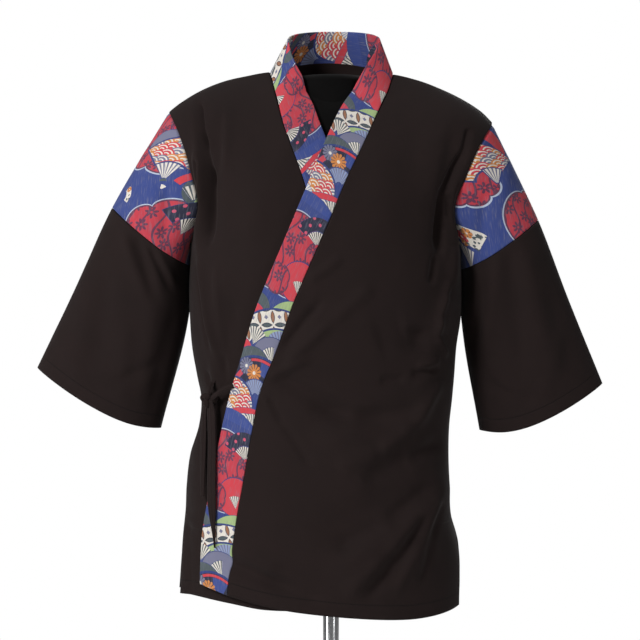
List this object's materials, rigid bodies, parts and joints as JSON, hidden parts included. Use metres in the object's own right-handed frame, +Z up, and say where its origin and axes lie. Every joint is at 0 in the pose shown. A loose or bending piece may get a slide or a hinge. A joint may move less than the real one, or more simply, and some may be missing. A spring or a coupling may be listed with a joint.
{
  "type": "japanese chef jacket on a dress form",
  "caption": "Wrap-front chef jacket with elbow sleeves, printed collar band and sleeve bands and a side tie, on a limbless dress form on a pole.",
  "frame": {"origin": "middle of the base's underside, on the floor under the pole", "axes": "+Z up, -Y towards the jacket's front, +X towards the wearer's left"},
  "size_m": [0.7959, 0.35, 1.3198],
  "materials": {
    "black_cloth": "matte twill",
    "printed_cloth": "printed plain weave",
    "form_jersey": "matte black jersey",
    "pole_chrome": "polished",
    "base_chrome": "polished"
  },
  "bodies": {
    "root": {"front_over": "black_cloth", "front_under": "black_cloth", "back": "black_cloth", "collar_band": "printed_cloth", "sleeve_right_upper": "printed_cloth", "sleeve_left_upper": "printed_cloth", "sleeve_right_lower": "black_cloth", "sleeve_left_lower": "black_cloth", "tie_front_strand": "black_cloth", "tie_side_strand": "black_cloth", "tie_knot": "black_cloth", "tie_front_tail": "black_cloth", "tie_side_tail": "black_cloth", "dress_form": "form_jersey", "pole": "pole_chrome", "base_plate": "base_chrome"}
  },
  "joints": []
}
